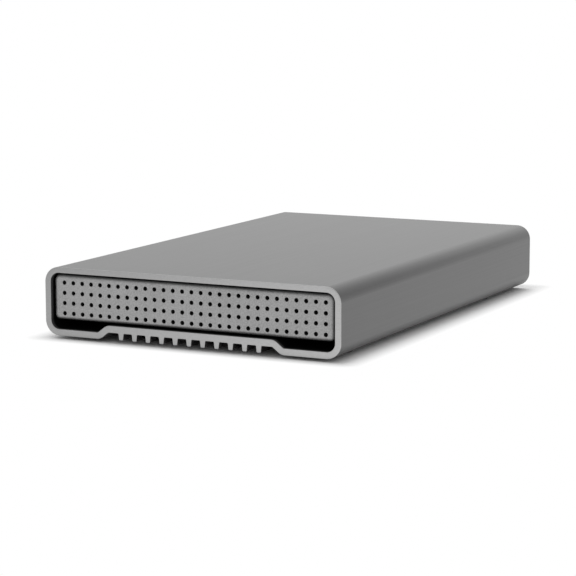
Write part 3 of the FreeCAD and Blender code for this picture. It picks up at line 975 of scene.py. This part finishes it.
def inlet_shell():
    """Drawn steel shell of the inlet, its mouth eased."""
    bm = bmesh.new()
    place = section_at(shell_low.y)
    outline = rounded_ring(bm, shell_outline(0), place)
    hollow = rounded_ring(bm, shell_outline(-shell_sheet), place)
    length = shell_high.y - shell_low.y - shell_mouth_ease
    mouth = extrude(bm, fill(bm, outline + hollow), Vector((0, length, 0)))
    bmesh.ops.recalc_face_normals(bm, faces=bm.faces)
    ease_end(bm, mouth, shell_mouth_ease)
    finish_piece("inlet_shell", bm, [inlet_steel], "usb_c_shell")


def bar(bm, middle, size):
    """Box with its middle and its size given. Returns its vertices."""
    place = Matrix.Translation(middle) @ Matrix.Diagonal((*size, 1))
    return bmesh.ops.create_cube(bm, size=1, matrix=place)["verts"]


def inlet_tongue():
    """Insulator behind the inlet's mouth, with its contact tongue and two rows of contacts."""
    bm = bmesh.new()
    finishes = [connector_black, contact_gold]
    base_length = tongue_high.y - tongue_low.y - tongue_reach
    base = rounded_face(bm, shell_outline(-shell_sheet), section_at(tongue_low.y))
    extrude(bm, [base], Vector((0, base_length, 0)))
    root_y = tongue_low.y + base_length
    tongue_size = (tongue_width, tongue_reach, tongue_thickness)
    verts = bar(bm, (0, root_y + tongue_reach / 2, shell_z), tongue_size)
    tip = {vert for vert in verts if vert.co.y > root_y + end_flat}
    tip_edges = {edge for vert in tip for edge in vert.link_edges if tip.issuperset(edge.verts)}
    bmesh.ops.bevel(
        bm, geom=list(tip_edges), offset=tongue_tip_ease, offset_type="OFFSET",
        segments=ease_segments, profile=0.5, affect="EDGES", material=-1)
    contact_size = (contact_width, contact_length, 2 * contact_lift)
    first_x = -contact_pitch * (contacts_in_row - 1) / 2
    for i in range(contacts_in_row):
        for side in (1, -1):
            x = first_x + i * contact_pitch
            z = shell_z + side * tongue_thickness / 2
            verts = bar(bm, (x, root_y + contact_length / 2, z), contact_size)
            for face in {face for vert in verts for face in vert.link_faces}:
                face.material_index = finishes.index(contact_gold)
    finish_piece("inlet_tongue", bm, finishes, "usb_c_tongue")


def lamp_pipe():
    """Clear pin with a flange behind the panel and a domed tip."""
    bm = bmesh.new()
    length = pipe_high.y - pipe_low.y
    flange_top = length - panel_thickness
    stations = [
        (pipe_radius, 0),
        (pipe_radius, flange_top - pipe_flange_length),
        (pipe_flange_radius, flange_top - pipe_flange_length),
        (pipe_flange_radius, flange_top),
        (pipe_radius, flange_top),
    ]
    stations += dome(pipe_radius, length - pipe_dome, pipe_dome, pipe_dome_reach)
    place = Matrix.Translation((pipe_x, pipe_low.y, pipe_z)) @ facing_rear
    rings = turned(bm, place, stations)
    fill(bm, rings[0])
    fill(bm, rings[-1])
    finish_piece("lamp_pipe", bm, [lamp_clear], "light_pipe")


def dress_nodes():
    """Gives each solid of the frame that still shows the finish of its slot."""
    for part in frame["record"]["subparts"]:
        mesh = frame["nodes"][part["node"]].data
        mesh.materials.clear()
        mesh.materials.append(slot_finishes[part["material_slot"]])


def table_top():
    """White table that keeps the shadow and runs out into plain white."""
    bm = bmesh.new()
    bmesh.ops.create_circle(bm, cap_ends=True, segments=table_segments, radius=table_radius)
    mesh = bpy.data.meshes.new("table_top")
    bm.to_mesh(mesh)
    bm.free()
    table = bpy.data.objects.new("table_top", mesh)
    bpy.context.scene.collection.objects.link(table)
    finish = Finish("table_white")
    finish.shade({"Base Color": grey(table_white), "Roughness": 1.0, "Specular IOR Level": 0.0})
    centred = finish.vector("ABSOLUTE", finish.vector("SUBTRACT", finish.place, shadow_past_rear / 2))
    beyond = finish.vector("SUBTRACT", centred, sleeve_high + shadow_past_rear / 2)
    share = finish.vector("DIVIDE", finish.vector("MAXIMUM", beyond, (0, 0, 0)), shadow_reach)
    far = finish.vector("LENGTH", share, output="Value").clamped()
    ray = finish.add("ShaderNodeLightPath", {}, {}, "Is Camera Ray")
    seen = (ray + ray.output("Is Glossy Ray") + ray.output("Is Transmission Ray")).clamped()
    plain = finish.add("ShaderNodeEmission", {}, {"Color": grey(1), "Strength": 1.0})
    lit = Value(finish, finish.shader.outputs[0])
    surface = finish.add("ShaderNodeMixShader", {}, {0: far * seen, 1: lit, 2: plain})
    finish.feed(finish.tree.nodes["Material Output"].inputs["Surface"], surface)
    mesh.materials.append(finish.material)


def room_light():
    """Soft light from all round, brightest from behind on the left and weaker on the right."""
    world = bpy.data.worlds.new("studio")
    world.use_nodes = True
    bpy.context.scene.world = world
    nodes = Nodes(world.node_tree)
    direction = nodes.add("ShaderNodeTexCoord", {}, {}, "Generated")
    level = room_level
    for azimuth, elevation, focus, strength in (right_flag, rear_left_light):
        flat = cos(radians(elevation))
        towards = (sin(radians(azimuth)) * flat, -cos(radians(azimuth)) * flat, sin(radians(elevation)))
        facing = nodes.vector("DOT_PRODUCT", direction, towards, output="Value").at_least(0.0)
        level = level + facing ** focus * strength
    background = world.node_tree.nodes["Background"]
    nodes.feed(background.inputs["Color"], grey(1))
    nodes.feed(background.inputs["Strength"], level)


def camera():
    """Camera on the photograph's place, turned about its own axis by the roll."""
    lens = bpy.data.cameras.new("camera")
    lens.sensor_width = sensor_width
    lens.lens = focal_length
    eye = bpy.data.objects.new("camera", lens)
    aim = Matrix.Rotation(camera_azimuth, 4, "Z") @ Matrix.Rotation(pi / 2 - camera_elevation, 4, "X")
    eye.matrix_world = Matrix.Translation(camera_place) @ aim @ Matrix.Rotation(camera_roll, 4, "Z")
    bpy.context.scene.collection.objects.link(eye)
    bpy.context.scene.camera = eye


# Finishes: a plated or moulded one has its darkest and lightest colours and its roughness
anodised = anodised_sleeve()
front_paint_edge_shade = painted_panel("front_paint_edge_shade", grille_low.y, 1)
rear_paint_edge_shade = painted_panel("rear_paint_edge_shade", rear_high.y, -1)
# Painted shade: near-black walls in the panels' holes and slots
hole_wall_shade = moulded_plastic("hole_wall_shade", grey(0.004), grey(0.008), 0.7)
sleeve_inside_painted_shade = dark_inside()
cut_metal_painted_light = cut_ends()
drive_case = blasted_metal(
    Finish("drive_case"), dark=0.13, light=0.19, grain_size=0.2 * MM, grain_share=0.5,
    roughness=0.45, painted_light_scale=1.0)
screw_steel = plated_metal("screw_steel", grey(0.28), grey(0.38), 0.32)
inlet_steel = plated_metal("inlet_steel", grey(0.56), grey(0.68), 0.26)
contact_gold = plated_metal("contact_gold", (0.72, 0.48, 0.14, 1), (0.85, 0.6, 0.22, 1), 0.25)
connector_black = moulded_plastic("connector_black", grey(0.012), grey(0.02), 0.45)
foot_rubber = moulded_plastic("foot_rubber", grey(0.02), grey(0.035), 0.8)
lamp_clear = clear_pipe()
slot_finishes = {
    "sleeve_aluminium": anodised,
    "foot_rubber": foot_rubber,
    "panel_silver": front_paint_edge_shade,
    "tray_sheet": tray_metal(),
    "drive_case": drive_case,
    "screw_steel": screw_steel,
    "inlet_steel": inlet_steel,
    "circuit_board": circuit_board(),
    "chip_black": moulded_plastic("chip_black", grey(0.016), grey(0.026), 0.6),
    "connector_black": connector_black,
    "pad_grey": moulded_plastic("pad_grey", (0.27, 0.3, 0.35, 1), (0.32, 0.35, 0.4, 1), 0.8),
    "ferrite": moulded_plastic("ferrite", grey(0.04), grey(0.06), 0.7),
    "capacitor_tan": moulded_plastic("capacitor_tan", (0.3, 0.2, 0.1, 1), (0.4, 0.28, 0.16, 1), 0.5),
    "lamp_white": moulded_plastic("lamp_white", (0.8, 0.8, 0.74, 1), (0.88, 0.88, 0.84, 1), 0.3),
    "clear_pipe": lamp_clear,
}

sleeve()
grille()
rear_cover()
panel_screws()
skid_screws()
feet()
inlet_shell()
inlet_tongue()
lamp_pipe()
dress_nodes()
table_top()
room_light()
camera()
bpy.context.scene.view_settings.view_transform = "Standard"
